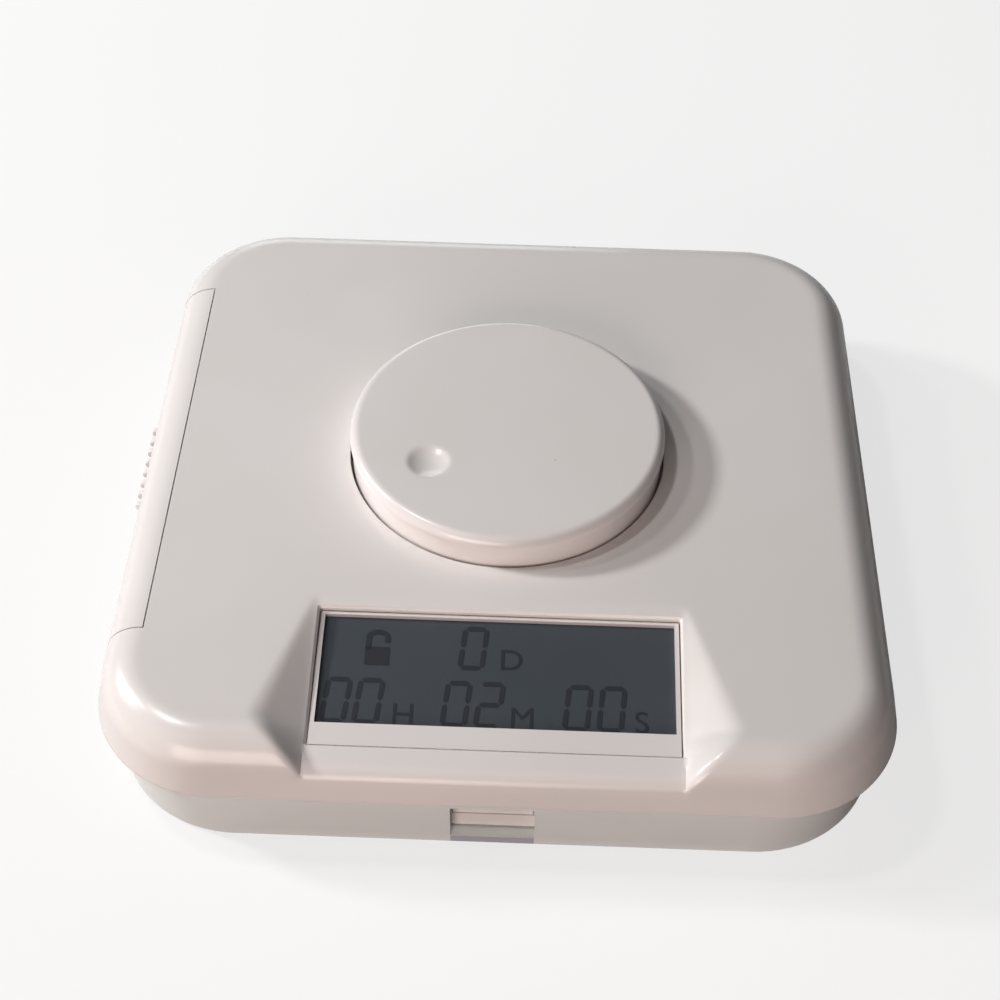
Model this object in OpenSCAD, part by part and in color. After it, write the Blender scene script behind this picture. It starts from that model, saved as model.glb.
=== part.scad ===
// Timed lock container: a square lid with a dial and a display, on a shallow tray.
// The origin is under the middle of the tray, +Z is up and the display faces -Y.
// A motor turns a cam ring round the dial, and the ring's spiral slots push two bolts
// into the notches at the front and back of the tray.

/* [Lid shell] */
// Width and depth of the lid at its lower edge
lid_w = 150; // [146:0.5:160]
// Corner radius of the lid at its lower edge
lid_corner_r = 24; // [22:0.5:27]
// Height of the lid from its lower edge to the deck
lid_h = 12.3; // [11.9:0.1:14]
// Radius between the deck and the sides
deck_fillet = 7.7; // [6.5:0.1:8.5]
// Lean of the sides from upright, in degrees
side_draft = 13; // [10:0.5:15]
// Wall thickness of the lid
lid_wall = 2.2; // [1.8:0.1:2.3]
// Chamfer on the lid's lower edge
edge_cut = 0.3; // [0.2:0.05:0.5]

/* [Tray] */
// Distance of the tray's face inside the lid's lower edge
tray_inset = 2.4; // [2.2:0.1:3]
// Height of the tray's outer wall
tray_h = 15.8; // [15.4:0.1:20]
// Corner radius of the tray
tray_corner_r = 24.5; // [23:0.5:27]
// Wall thickness of the tray
tray_wall = 2.2; // [1.8:0.1:2.6]
// Floor thickness of the tray
tray_floor = 2; // [1.5:0.1:2.2]
// Height of the foot ring below the floor
foot_h = 0.8; // [0.5:0.1:1]
// Width of the foot ring
foot_w = 3.4; // [3:0.1:5]
// Height of the step line on the tray's wall
step_z = 6.2; // [4.5:0.1:6.5]
// Depth of the step line
step_in = 0.3; // [0.2:0.1:0.8]
// Height of the rim that stands inside the lid
rim_h = 2.4; // [2:0.1:2.8]
// Distance of the rim inside the tray's face
rim_in = 0.9; // [0.8:0.1:1]
// Gap between the lid's lower edge and the tray's shoulder
seam = 0.3; // [0.2:0.05:0.4]

/* [Lid base] */
// Gap between the lid base's skirt and the tray's wall
plug_gap = 0.3; // [0.2:0.05:0.5]
// Wall thickness of the skirt
plug_wall = 1.8; // [1.5:0.1:2.2]
// Height of the skirt's lower edge above the tray's foot
plug_low = 3.3; // [3.2:0.1:4.5]
// Height of the ceiling over the store
plate_z = 13; // [12.8:0.1:13.2]
// Thickness of the plate that carries the mechanism
plate_t = 1.5; // [1.2:0.1:1.6]
// Thickness of the flange that rests on the tray's rim
flange_t = 1; // [0.8:0.1:1.1]
// Gap between the flange and the lid's wall
flange_gap = 0.25; // [0.2:0.05:0.4]

/* [Lock notches and bolts] */
// Width of the notches in the tray
notch_w = 15.6; // [15:0.1:17]
// Height of the top of the notches
notch_top = 12; // [11.9:0.1:12.6]
// Play of a bolt in its notch, on each side
bolt_play = 0.4; // [0.3:0.05:0.6]
// Height of the bolt's nose
nose_h = 4.6; // [4:0.1:4.6]
// Length of the bolt's nose
nose_len = 7; // [6.5:0.1:8]
// Travel of a bolt
bolt_travel = 2.2; // [1.8:0.1:2.3]
// Turn of the cam ring that moves the bolts, in degrees
ring_turn = 30; // [26:1:32]
// Width of the bolt's bar
bar_w = 9; // [8:0.5:10]
// Thickness of the bolt's bar
bar_t = 1.6; // [1.4:0.1:1.7]
// Diameter of the bolt's cam pin
cam_pin_d = 3; // [2.5:0.1:3.2]

/* [Knob] */
// Distance of the knob's axis behind the slope's upper edge
knob_back = 42.8; // [42:0.1:44]
// Diameter of the knob's cap
knob_d = 63.4; // [60:0.2:64]
// Height of the knob above the deck
knob_rise = 7; // [6.5:0.1:8]
// Thickness of the cap at its edge
cap_edge = 2.1; // [2.1:0.1:2.4]
// Radius of the cap's upper edge
cap_round = 1.9; // [1.2:0.1:2]
// How far the cap overhangs its skirt
cap_overhang = 0.4; // [0.2:0.1:0.6]
// Gap between the cap and its skirt
cap_gap = 0.2; // [0.15:0.05:0.3]
// Gap between the skirt and the deck's hole
knob_gap = 0.55; // [0.4:0.05:0.8]
// How far the skirt goes down below the deck
skirt_drop = 2.8; // [2.4:0.1:3]
// Wall thickness of the skirt
skirt_wall = 1.8; // [1.5:0.1:2.2]
// Travel of the knob when it is pressed
press_travel = 1; // [0.5:0.1:1]
// Diameter of the finger dimple
dimple_d = 8.4; // [7:0.1:10]
// Depth of the finger dimple
dimple_deep = 1.1; // [0.8:0.05:1.2]
// Place of the dimple from the knob's axis
dimple_at = [-15.3, -10.9];

/* [Display] */
// Distance of the slope's upper edge behind the lid's front edge
slope_back = 35.7; // [35:0.1:36.5]
// Fall of the slope towards the front, in degrees
slope_deg = 7; // [6.5:0.1:7.2]
// Radius where the slope turns into the front wall
lip_round = 4; // [3:0.1:4.5]
// Distance of the recess's side from the window, at its upper end
cheek_top_side = 1.1; // [1:0.1:2]
// Distance of the recess's upper end behind the slope's upper edge
cheek_top_back = 2.9; // [2:0.1:3.5]
// Distance of the recess's side from the window, where the deck ends
cheek_mouth_side = 9.2; // [8:0.1:11]
// Distance of that place behind the lid's front edge
cheek_mouth_back = 12.2; // [11:0.1:13]
// Distance of the slope's side from the window, at the front wall
cheek_tip_side = 0.7; // [0.5:0.1:1.1]
// Width of the window in the slope
window_w = 67.8; // [67:0.1:68]
// Length of the window down the slope
window_l = 28.8; // [28.5:0.1:29]
// Depth of the bezel's face under the slope
bezel_deep = 1.6; // [1.3:0.1:1.7]
// Width of the bezel's border at each side of the visible display
view_side = 1.05; // [0.9:0.05:1.5]
// Width of the bezel's border above the visible display
view_top = 0.8; // [0.7:0.1:1]
// Width of the bezel's border below the visible display
view_low = 4.8; // [4.4:0.1:5.5]

/* [Battery bay] */
// How far the battery door reaches past the bay at each end
door_over = 0.9; // [0.7:0.1:1.5]
// Distance of the door's middle behind the middle of the lid
door_y = 2; // [1:0.5:3]
// Gap round the door
door_gap = 0.25; // [0.15:0.05:0.35]
// Diameter of a cell
cell_d = 10.5; // [10:0.1:10.5]
// Length of a cell
cell_l = 44.5; // [43:0.1:44.5]

/* [Gears] */
// Module of the gears
gear_m = 0.8; // [0.7:0.05:0.8]
// Pressure angle, in degrees
gear_pa = 28; // [25:1:28]
// Teeth of the whole circle that the ring's sector belongs to
ring_teeth = 66; // [66:1:68]
// Teeth of the small wheel that drives the ring
small_teeth = 12; // [12:1:13]
// Teeth of the large wheel on the same axle
large_teeth = 30; // [28:1:30]
// Teeth of the motor's pinion
pinion_teeth = 10; // [10:1:11]
// Tooth thickness left out for backlash
gear_backlash = 0.12; // [0.1:0.01:0.2]

/* [Hidden] */
$fn = 96;
eps = 0.01;

// Colours
abs_white = "#EDE7E4";
milky = "#D9DBD8";
pom_white = "#F2F0EC";
board_green = "#2F6B45";
steel = "#B9BCC0";
dark_glass = "#3E4348";

// How far a cut runs past the piece that it cuts
past = 5;
far = 2 * lid_w;

// Heights and half widths that follow from the sizes above
lid_low = tray_h + seam;
deck_z = lid_low + lid_h;
ceiling_z = deck_z - lid_wall;
lid_c = lid_w / 2 - lid_corner_r;
fillet_run = (deck_fillet * (1 - sin(side_draft)) + lid_h * sin(side_draft)) / cos(side_draft);
flat_half = lid_w / 2 - fillet_run;
tray_half = lid_w / 2 - tray_inset;
tray_c = tray_half - tray_corner_r;
tray_in_half = tray_half - tray_wall;
floor_z = foot_h + tray_floor;
rim_top = tray_h + rim_h;
plug_half = tray_in_half - plug_gap;
plug_in_half = plug_half - plug_wall;
plug_r = tray_corner_r - tray_wall - plug_gap;
plate_top = plate_z + plate_t;

// The recess, the window and the knob's axis, from the middle of the lid
slope_top = lid_w / 2 - slope_back;
cheek_top = [window_w / 2 + cheek_top_side, slope_top - cheek_top_back];
cheek_mouth = [window_w / 2 + cheek_mouth_side, lid_w / 2 - cheek_mouth_back];
cheek_tip_x = window_w / 2 + cheek_tip_side;
view_w = window_w - 2 * view_side;
view_h = window_l - view_top - view_low;
knob_y = knob_back - slope_top;

// The ring, its collar and the gears
collar_r = 14.4;
collar_bore = 13;
ring_fit = 0.06;
ring_low = plate_top + 2.5;
ring_t = 1.8;
ring_disc_r = 24.4;
shoulder_r = 16.2;
pin_r0 = 18.6;
slot_play = 0.2;
bolt_half = notch_w / 2 - bolt_play;
front_reach = plug_half + knob_y;
back_reach = plug_half - knob_y;
flag_deg = -25;
bar_low = plate_top + 0.5;
bar_top = bar_low + bar_t;
nose_z = notch_top - 0.2 - nose_h;
wheel_low = plate_top + 0.4;
wheel_t = 1.5;
small_top = ring_low + ring_t + 0.3;
addendum = 0.8 * gear_m;
dedendum = 1.05 * gear_m;
train_deg = 50;
motor_deg = 45;
train_r = gear_m * (ring_teeth + small_teeth) / 2;
motor_r = gear_m * (large_teeth + pinion_teeth) / 2;
train_at = [train_r * cos(train_deg), knob_y + train_r * sin(train_deg)];
motor_at = train_at + motor_r * [cos(motor_deg), sin(motor_deg)];
axle_d = 2.5;
run_fit = 0.05;
motor_d = 20;
motor_h = 7.4;
motor_low = plate_top + 2.7;
motor_shaft_d = 1.5;

// The knob, its well and the encoder
knob_r = knob_d / 2;
skirt_r = knob_r - cap_overhang;
well_r = skirt_r + knob_gap;
well_wall = 1.5;
skirt_low = deck_z - skirt_drop;
well_floor = skirt_low - press_travel - 0.6;
well_floor_t = 1.2;
well_hole_r = 9.4;
knob_top = deck_z + knob_rise;
cap_low = knob_top - cap_edge;
web_t = 1.6;
web_top = cap_low - cap_gap - 0.4;
shaft_d = 6;
hub_r = 6;
encoder_w = 12;
encoder_low = plate_top + 2.9;
encoder_h = 6;
encoder_top = encoder_low + encoder_h;
bush_r = 3.8;
bush_h = 1.8;
board_t = 1.2;
hub_low = encoder_top + bush_h + press_travel + 0.3;
shaft_low = encoder_low + 3.1;

// The battery bay
bay_wall = 1.2;
bay_slack = 2.8;
bay_half = cell_l + bay_slack;
door_l = 2 * (bay_half + door_over);
bay_play = 0.1;
cell_out = 3;
cell_x = -(flat_half + cell_out - cell_d / 2);
cell_z = plate_top + cell_d / 2 + 0.02;
bay_in_x = cell_x + cell_d / 2 + bay_play;
tongue_w = 8;
tongue_l = 3;
tongue_t = 0.9;
tongue_play = 0.1;
tongue_z = ceiling_z + 0.15;
tongue_y = 24;
spring_turns = 2.5;
spring_wire_r = 0.35;
spring_steps = 20;
spring_sides = 6;
spring_plate_t = 0.6;

// The display stack, measured down from the slope
bezel_fit = 0.25;
bezel_side = 2.3;
lcd_top = lid_wall + bezel_side * sin(slope_deg) + 0.12;
bezel_back = lcd_top + 2.2;
lcd_t = 1.1;
glass_side = 0.9;
glass_ledge = 3.4;
zebra_w = 1.4;
display_board_t = 1.2;

// Screws and boards
post_r = 3.4;
post_x = -bay_in_x - bay_wall - post_r - 0.3;
post_y = plug_in_half - 14.3;
post_split = plate_top + 3;
screw_r = 1.3;
screw_head_r = 2.5;
screw_head_h = 1.5;
screw_len = 8;
board_w = 26;
board_x = [plug_in_half - 1.3 - board_w, plug_in_half - 1.3];
board_y = [-(plug_in_half - 22.3), motor_at.y - motor_d / 2 - 2.7];
board_z = plate_top + 1.5;
board_post_in = 3;
board_screw_r = 0.9;
board_head_r = 1.8;
board_head_h = 1.1;
buzzer_r = 6;
buzzer_h = 5.5;
buzzer_hole_r = 1;
capacitor_r = 2.5;
capacitor_h = 5;

function unit(v) = v / norm(v);

// A rounded square of half width half and corner radius r
module round_square(half, r) {
    c = half - r;
    square([2 * c, 2 * half], center = true);
    square([2 * half, 2 * c], center = true);
    for (q = [0:3])
        rotate(90 * q)
            translate([c, c])
                intersection() {
                    circle(r);
                    square(r + 1);
                }
}

// Sweeps a profile round a square whose corner axes lie at +-c.
// The profile's x is the distance from those axes, and its y is the height.
module round_sweep(c, low, high) {
    translate([-c, -c, low])
        cube([2 * c, 2 * c, high - low]);
    for (q = [0:3])
        rotate(90 * q) {
            translate([c, c, 0])
                rotate_extrude(angle = 90)
                    children();
            rotate([90, 0, 0])
                linear_extrude(2 * c, center = true)
                    translate([c, 0])
                        children();
        }
}

// Cross-section of the lid's block, drawn inset by t, from height low to the deck
module lid_profile(t, low) {
    rc = flat_half - lid_c;
    zc = deck_z - deck_fillet;
    r = deck_fillet - t;
    dir = [cos(side_draft), sin(side_draft)];
    low_x = rc + (r + (zc - low) * sin(side_draft)) / cos(side_draft);
    polygon([
        [0, low],
        [low_x - edge_cut, low],
        [low_x - edge_cut * tan(side_draft), low + edge_cut],
        [rc, zc] + r * dir,
        [rc, zc],
        [rc, deck_z - t],
        [0, deck_z - t]
    ]);
    intersection() {
        translate([rc, zc])
            circle(r);
        polygon([[rc, zc], [rc, zc] + 2 * r * dir, [rc + 2 * r, zc + 2 * r], [rc, zc + 2 * r]]);
    }
}

module lid_block(t, low) {
    round_sweep(lid_c, low, deck_z - t)
        lid_profile(t, low);
}

// Everything on the inner side of the plane through a, b and c, moved out by t
module half_space(a, b, c, t) {
    n = unit(cross(c - a, b - a));
    u = unit(b - a);
    v = cross(n, u);
    o = a - t * n;
    multmatrix([
        [u.x, v.x, n.x, o.x],
        [u.y, v.y, n.y, o.y],
        [u.z, v.z, n.z, o.z],
        [0, 0, 0, 1]
    ])
        translate([-lid_w, -lid_w, 0])
            cube(far);
}

// Points above the slope, drawn in a side view, with the front edge rounded
module over_slope(t, round_r) {
    n1 = [-sin(slope_deg), cos(slope_deg)];
    n2 = [-cos(side_draft), sin(side_draft)];
    d1 = n1 * [-slope_top, deck_z] - t;
    d2 = n2 * [-lid_w / 2, lid_low] + 0.05;
    det = n1.x * n2.y - n1.y * n2.x;
    e1 = d1 - round_r;
    e2 = d2 - round_r;
    c = [e1 * n2.y - e2 * n1.y, e2 * n1.x - e1 * n2.x] / det;
    t1 = c + round_r * n1;
    t2 = c + round_r * n2;
    along1 = [n1.y, -n1.x];
    along2 = [-n2.y, n2.x];
    difference() {
        translate([-lid_w, 0])
            square([lid_w, 2 * deck_z]);
        polygon([t1 + far * along1, t1, c, t2, t2 + far * along2, [far, -far]]);
        intersection() {
            translate(c)
                circle(round_r);
            polygon([c, t1 + round_r * n1, c + 3 * round_r * unit(n1 + n2), t2 + round_r * n2]);
        }
    }
}

// The display recess: over the slope and between its two splayed cheeks
module recess(t, round_r) {
    tip_y = -lid_w / 2 + 0.5;
    tip_z = deck_z - (-tip_y - slope_top) * tan(slope_deg);
    a = [cheek_top.x, -cheek_top.y, deck_z];
    b = [cheek_mouth.x, -cheek_mouth.y, deck_z];
    c = [cheek_tip_x, tip_y, tip_z];
    intersection() {
        rotate([90, 0, 90])
            linear_extrude(lid_w, center = true)
                over_slope(t, round_r);
        half_space(a, b, c, t);
        mirror([1, 0, 0])
            half_space(a, b, c, t);
    }
}

// Puts its children in the slope's frame: y runs up the slope and z stands off it
module on_slope() {
    translate([0, -slope_top, deck_z])
        rotate([slope_deg, 0, 0])
            children();
}

// A box in the slope's frame, from depth top to depth bottom under the slope
module slope_box(x, y0, y1, top, bottom) {
    on_slope()
        translate([-x, y0, -bottom])
            cube([2 * x, y1 - y0, bottom - top]);
}

module lid_shell() {
    difference() {
        lid_block(0, lid_low);
        recess(0, lip_round);
        difference() {
            lid_block(lid_wall, lid_low - 1);
            recess(lid_wall, 0.5);
        }
    }
}

module door_space(gap) {
    translate([-lid_w, door_y - door_l / 2 + gap, lid_low - 2])
        cube([lid_w - flat_half - gap, door_l - 2 * gap, lid_h + 4]);
}

module at_posts() {
    for (x = [-post_x, post_x])
        for (y = [-post_y, post_y])
            translate([x, y, 0])
                children();
}

module tongues(play) {
    for (y = [door_y - tongue_y, door_y + tongue_y])
        translate([-flat_half - 1.2, y - tongue_w / 2 - play, tongue_z - play])
            cube([tongue_l + 1.2 + play, tongue_w + 2 * play, tongue_t + 2 * play]);
}

// Sub-parts ---------------------------------------------------------------

module tray_profile() {
    polygon([
        [0, foot_h],
        [tray_corner_r - foot_w, foot_h],
        [tray_corner_r - foot_w, 0],
        [tray_corner_r - step_in - 0.8, 0],
        [tray_corner_r - step_in, 0.8],
        [tray_corner_r - step_in, step_z - step_in],
        [tray_corner_r, step_z],
        [tray_corner_r, tray_h],
        [tray_corner_r - rim_in, tray_h],
        [tray_corner_r - rim_in, rim_top],
        [0, rim_top]
    ]);
}

module tray() {
    color(milky)
        difference() {
            round_sweep(tray_c, foot_h, rim_top)
                tray_profile();
            translate([0, 0, floor_z])
                linear_extrude(rim_top)
                    round_square(tray_in_half, tray_corner_r - tray_wall);
            for (s = [-1, 1])
                translate([-notch_w / 2, s > 0 ? tray_in_half - 0.2 : -tray_half - 1, floor_z])
                    cube([notch_w, tray_wall + 1.2, notch_top - floor_z]);
        }
}

module knob_well() {
    translate([0, knob_y, well_floor - well_floor_t])
        cylinder(h = ceiling_z - well_floor + well_floor_t + 0.5, r = well_r + well_wall);
}

module top_cover() {
    color(abs_white)
        difference() {
            union() {
                lid_shell();
                knob_well();
                at_posts()
                    translate([0, 0, post_split])
                        cylinder(h = ceiling_z - post_split + 0.5, r = post_r);
            }
            translate([0, knob_y, well_floor])
                cylinder(h = deck_z, r = well_r);
            translate([0, knob_y, 0])
                cylinder(h = deck_z, r = well_hole_r);
            slope_box(window_w / 2, -window_l, 0, -past, lid_wall + past);
            door_space(0);
            tongues(tongue_play);
            at_posts()
                translate([0, 0, post_split - 1])
                    cylinder(h = screw_len - 1.5, r = screw_r - 0.1);
        }
}

module rib_row() {
    rib_n = 8;
    rib_pitch = 3;
    rib_z = deck_z - deck_fillet;
    for (i = [0:rib_n - 1])
        translate([-flat_half - deck_fillet - 0.25, door_y + (i - (rib_n - 1) / 2) * rib_pitch, rib_z])
            rotate([90, 0, 0])
                cylinder(h = 1.2, r = 0.8, center = true);
}

module battery_door() {
    color(abs_white)
        union() {
            intersection() {
                lid_shell();
                door_space(door_gap);
            }
            tongues(0);
            rib_row();
        }
}

module bay_box(x0, x1, y0, y1, z0, z1) {
    translate([x0, y0, z0])
        cube([x1 - x0, y1 - y0, z1 - z0]);
}

// The bay's floor is the plate; walls stand at its inner side and at both ends
module battery_bay() {
    y0 = door_y - bay_half;
    y1 = door_y + bay_half;
    out_x = -flat_half - 0.3;
    bay_box(bay_in_x, bay_in_x + bay_wall, y0 - bay_wall, y1 + bay_wall, plate_top - 0.5, ceiling_z - 0.4);
    bay_box(out_x, bay_in_x + bay_wall, y0 - bay_wall, y0, plate_top - 0.5, ceiling_z - 0.4);
    bay_box(out_x, bay_in_x + bay_wall, y1, y1 + bay_wall, plate_top - 0.5, ceiling_z - 0.4);
}

// Guides, pocket and tunnel of one bolt, drawn towards -Y from the knob's axis
module bolt_housing_solid(reach) {
    w = bolt_half + bolt_play;
    translate([-w - 1.2, -reach, nose_z - 1.5])
        cube([2 * w + 2.4, nose_len + 6.2, plate_top - nose_z + 1.5]);
    for (s = [-1, 1])
        translate([s > 0 ? bar_w / 2 + 0.15 : -bar_w / 2 - 1.35, -reach + nose_len + 6.2, plate_top - 0.5])
            cube([1.2, reach - nose_len - 6.2 - shoulder_r - 3.5, bar_top - plate_top + 0.7]);
    translate([-bar_w / 2 - 1.35, -reach + nose_len + 14, bar_top + 0.2])
        cube([bar_w + 2.7, 4, 1]);
}

module bolt_housing_cut(reach) {
    w = bolt_half + bolt_play / 2;
    translate([-w, -reach - 1, nose_z - 0.3])
        cube([2 * w, nose_len + 6, nose_h + 0.6]);
    translate([-w, -reach + plug_wall, nose_z - 0.3])
        cube([2 * w, nose_len + 5 - plug_wall, bar_top - nose_z + 0.6]);
}

module at_bolts() {
    translate([0, knob_y, 0])
        children(0);
    translate([0, knob_y, 0])
        rotate(180)
            children(1);
}

module lid_base() {
    color(abs_white)
        difference() {
            union() {
                difference() {
                    translate([0, 0, plug_low])
                        linear_extrude(rim_top + flange_t - plug_low)
                            round_square(plug_half, plug_r);
                    translate([0, 0, plug_low - 1])
                        linear_extrude(plate_z - plug_low + 1)
                            round_square(plug_in_half, plug_r - plug_wall);
                    translate([0, 0, plate_top])
                        linear_extrude(deck_z)
                            round_square(plug_in_half, plug_r - plug_wall);
                }
                flange();
                battery_bay();
                at_bolts() {
                    bolt_housing_solid(front_reach);
                    bolt_housing_solid(back_reach);
                }
                translate([0, knob_y, plate_top - 0.5])
                    cylinder(h = ring_low - plate_top + 0.5, r = shoulder_r);
                translate([0, knob_y, plate_top - 0.5])
                    cylinder(h = ring_low + ring_t - plate_top + 0.6, r = collar_r);
                translate([train_at.x, train_at.y, plate_z + 1])
                    cylinder(h = wheel_low - plate_z - 1.2, r = 3);
                motor_seat();
                at_posts()
                    translate([0, 0, plate_z])
                        cylinder(h = post_split - plate_z, r = post_r + 1);
                board_posts();
            }
            collar_cut();
            at_bolts() {
                bolt_housing_cut(front_reach);
                bolt_housing_cut(back_reach);
            }
            translate([train_at.x, train_at.y, plate_z - 1])
                cylinder(h = wheel_low - plate_z + 1, r = axle_d / 2);
            at_posts()
                post_hole();
            bay_box(-lid_w, bay_in_x - 0.05, door_y - bay_half, door_y + bay_half, plate_top, deck_z);
            board_holes();
        }
}

module flange() {
    difference() {
        translate([0, 0, rim_top])
            linear_extrude(flange_t)
                round_square(flange_half(), lid_corner_r - (lid_w / 2 - flange_half()));
        translate([0, 0, rim_top - 1])
            linear_extrude(flange_t + 2)
                round_square(plug_half - 1, plug_r - 1);
    }
}

function inner_half(z) =
    flat_half + (deck_fillet - lid_wall + (deck_z - deck_fillet - z) * sin(side_draft)) / cos(side_draft);
function flange_half() = inner_half(rim_top + flange_t) - flange_gap;

module collar_cut() {
    translate([0, knob_y, encoder_low - board_t])
        cylinder(h = deck_z, r = collar_bore);
    translate([0, knob_y, plate_top])
        cylinder(h = deck_z, r = collar_bore - 1.5);
}

module motor_seat() {
    difference() {
        translate([motor_at.x, motor_at.y, plate_top - 0.5])
            cylinder(h = motor_low - plate_top + 0.5, r = motor_d / 2 + 0.6);
        translate([motor_at.x, motor_at.y, plate_top])
            cylinder(h = motor_h, r = motor_d / 2 - 2);
        translate([train_at.x, train_at.y, plate_top])
            cylinder(h = motor_h, r = gear_m * large_teeth / 2 + addendum + 0.6);
    }
}

module post_hole() {
    translate([0, 0, plate_z - 1])
        cylinder(h = post_split - plate_z + 2, r = screw_r + 0.2);
    translate([0, 0, plate_z - 1])
        cylinder(h = 1 + screw_head_h + 0.5, r = screw_head_r + 0.2);
}

module at_board_corners() {
    for (x = [board_x[0] + board_post_in, board_x[1] - board_post_in])
        for (y = [board_y[0] + board_post_in, board_y[1] - board_post_in])
            translate([x, y, 0])
                children();
}

module board_posts() {
    at_board_corners()
        translate([0, 0, plate_top - 0.5])
            cylinder(h = board_z - plate_top + 0.5, r = 2.2);
}

module board_holes() {
    at_board_corners()
        translate([0, 0, plate_z + 0.5])
            cylinder(h = board_z - plate_z, r = board_screw_r - 0.1);
}

module battery_cells() {
    nub = 0.9;
    color("#3D6FA3")
        for (i = [-1, 0])
            translate([cell_x, door_y + i * cell_l, cell_z])
                rotate([-90, 0, 0]) {
                    cylinder(h = cell_l - nub, r = cell_d / 2);
                    translate([0, 0, cell_l - nub - eps])
                        cylinder(h = nub, r = 1.9);
                }
}

// A conical coil spring, swept along a helix that starts in its own contact plate
function spring_point(k, n) =
    let (f = k / n, a = 360 * spring_turns * f, r = 3.4 - 1.6 * f)
        [r * cos(a), r * sin(a), spring_plate_t + 0.15 + (bay_slack - spring_plate_t - 0.2 - spring_wire_r) * f];

function spring_ring(k, n, i) =
    let (
        p = spring_point(k, n),
        d = unit(spring_point(min(k + 1, n), n) - spring_point(max(k - 1, 0), n)),
        out = unit([p.x, p.y, 0]),
        up = unit(cross(d, out)),
        a = 360 * i / spring_sides
    )
        p + spring_wire_r * (cos(a) * unit(cross(up, d)) + sin(a) * up);

module coil() {
    n = round(spring_turns * spring_steps);
    m = spring_sides;
    points = [for (k = [0:n]) for (i = [0:m - 1]) spring_ring(k, n, i)];
    sides = [for (k = [0:n - 1]) for (i = [0:m - 1]) each [
        [k * m + i, (k + 1) * m + i, (k + 1) * m + (i + 1) % m],
        [k * m + i, (k + 1) * m + (i + 1) % m, k * m + (i + 1) % m]
    ]];
    ends = [for (i = [1:m - 2]) each [[0, i, i + 1], [n * m, n * m + i + 1, n * m + i]]];
    polyhedron(points = points, faces = concat(sides, ends));
}

module contact_spring() {
    color(steel)
        translate([cell_x, door_y - bay_half, cell_z])
            rotate([-90, 0, 0]) {
                translate([-4, -4.2, 0])
                    cube([8, 8.4, spring_plate_t]);
                coil();
            }
}

module contact_plate() {
    color(steel)
        translate([cell_x, door_y + bay_half, cell_z])
            rotate([90, 0, 0]) {
                translate([-4, -4.2, 0])
                    cube([8, 8.4, 0.5]);
                cylinder(h = bay_slack - 0.05, r1 = 2.6, r2 = 1.8);
            }
}

module lcd_bezel() {
    hole = view_w / 2;
    color(abs_white)
        difference() {
            union() {
                slope_box(window_w / 2 - bezel_fit, -window_l + bezel_fit, -bezel_fit, bezel_deep, lcd_top);
                slope_box(window_w / 2 + bezel_side, -window_l - 1.2, bezel_side, lcd_top - eps, bezel_back);
            }
            slope_box(hole, -view_top - view_h, -view_top, 0, bezel_back + 1);
            slope_box(hole + glass_side, -view_top - view_h - glass_ledge, glass_side, lcd_top, bezel_back + 1);
        }
}

module lcd_lens() {
    color(dark_glass, 0.5)
        slope_box(view_w / 2 - 0.05, -view_top - view_h + 0.05, -view_top - 0.05, bezel_deep + 0.2, lcd_top - 0.05);
}

module lcd_panel() {
    color(dark_glass)
        slope_box(view_w / 2 + glass_side - 0.1, -view_top - view_h - glass_ledge + 0.1, glass_side - 0.1,
            lcd_top, lcd_top + lcd_t);
}

module zebra_strips() {
    color("#C77FA0")
        for (y = [-view_top - view_h - 2 * zebra_w, glass_side - 0.4 - zebra_w])
            slope_box(view_w / 2 - 2, y, y + zebra_w, lcd_top + lcd_t, bezel_back);
}

module display_board() {
    color(board_green)
        slope_box(window_w / 2 + 1.2, -window_l + 1.5, bezel_side - 0.4, bezel_back, bezel_back + display_board_t);
}

module chip(x, y, l, w, h, high) {
    color("#26282B")
        translate([x, y, high - eps])
            cube([l, w, h + eps]);
}

module main_board() {
    top = board_z + board_t;
    difference() {
        color(board_green)
            translate([board_x[0], board_y[0], board_z])
                cube([board_x[1] - board_x[0], board_y[1] - board_y[0], board_t]);
        at_board_corners()
            translate([0, 0, board_z - 1])
                cylinder(h = board_t + 2, r = board_screw_r + 0.2);
    }
    chip(board_x[0] + 9, board_y[0] + 48, 8, 8, 1.4, top);
    chip(board_x[0] + 4, board_y[0] + 34, 5, 4, 1.6, top);
    chip(board_x[0] + 15, board_y[0] + 60, 4, 3, 1.2, top);
    chip(board_x[0] + 7, board_y[0] + 2, 12, 4.5, 5, top);
    for (i = [0:2])
        color("#8C8F96")
            translate([board_x[1] - 2 * capacitor_r, board_y[0] + 36 + 8 * i, top - eps])
                cylinder(h = capacitor_h + eps, r = capacitor_r);
}

module buzzer() {
    color("#1E1F22")
        translate([board_x[1] - buzzer_r - 4, board_y[0] + 22, board_z + board_t])
            difference() {
                cylinder(h = buzzer_h, r = buzzer_r);
                translate([0, 0, buzzer_h - 2])
                    cylinder(h = past, r = buzzer_hole_r);
            }
}

module encoder_board() {
    color(board_green)
        translate([0, knob_y, encoder_low - board_t])
            cylinder(h = board_t, r = collar_bore - 0.2);
}

module encoder_body() {
    w = encoder_w;
    color("#3A3F45")
        difference() {
            union() {
                translate([-w / 2, knob_y - w / 2, encoder_low])
                    cube([w, w, encoder_h]);
                translate([0, knob_y, encoder_top - eps])
                    cylinder(h = bush_h + eps, r = bush_r);
            }
            translate([0, knob_y, encoder_low + 0.6])
                cylinder(h = encoder_h - 1.6, r = 4.6);
            translate([0, knob_y, encoder_low])
                cylinder(h = encoder_h + bush_h + 1, r = shaft_d / 2 + run_fit);
        }
}

module dome_switch() {
    color(steel)
        translate([0, knob_y, encoder_low])
            cylinder(h = 0.55, r = shaft_d / 2);
}

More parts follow.
